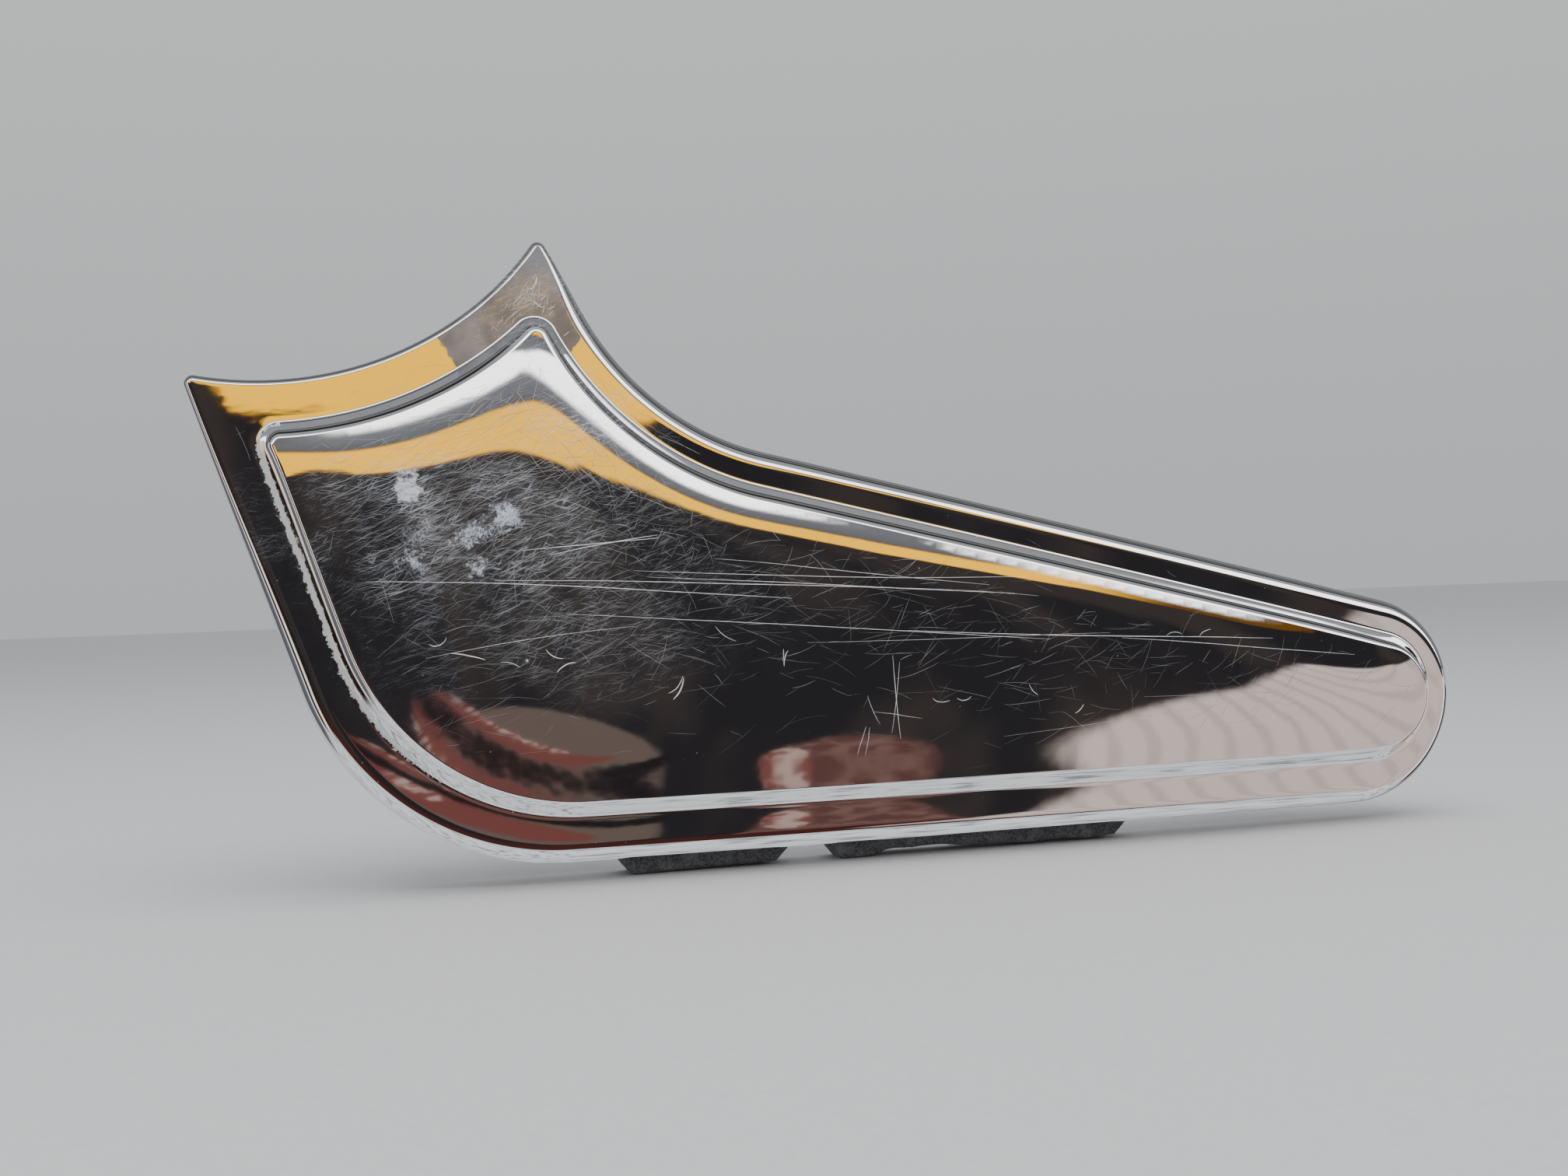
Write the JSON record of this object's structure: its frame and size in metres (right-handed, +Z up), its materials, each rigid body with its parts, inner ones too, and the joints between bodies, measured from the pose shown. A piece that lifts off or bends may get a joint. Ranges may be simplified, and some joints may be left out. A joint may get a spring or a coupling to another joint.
{
  "type": "motorcycle tank trim cover",
  "caption": "Chromed teardrop cover for the side of a motorcycle fuel tank, with a notched front, a raised centre panel, studs on its back and foam strips.",
  "frame": {"origin": "axis of the lower stud where it crosses the back plane of the skirt", "axes": "+X along the straight lower edge towards the rounded tail, -Y the way the chromed face looks, +Y towards the motorcycle, +Z up"},
  "size_m": [0.2063, 0.0346, 0.0965],
  "materials": {
    "chromed_shell": "bright chrome plate on moulded plastic, hairline scratches",
    "brass_insert": "knurled, machined",
    "zinc_steel": "zinc plated",
    "washer_steel": "zinc plated, stamped",
    "rubber": "matte moulded rubber",
    "foam": "matte open-cell foam"
  },
  "bodies": {
    "root": {"trim_shell": "chromed_shell", "insert_lower": "brass_insert", "stud_lower": "zinc_steel", "washer_lower": "washer_steel", "cushion_lower": "rubber", "insert_upper": "brass_insert", "stud_upper": "zinc_steel", "washer_upper": "washer_steel", "cushion_upper": "rubber", "insert_tail": "brass_insert", "stud_tail": "zinc_steel", "washer_tail": "washer_steel", "cushion_tail": "rubber", "foam_lower_front": "foam", "foam_lower_rear": "foam", "foam_upper": "foam", "foam_side": "foam"}
  },
  "joints": []
}
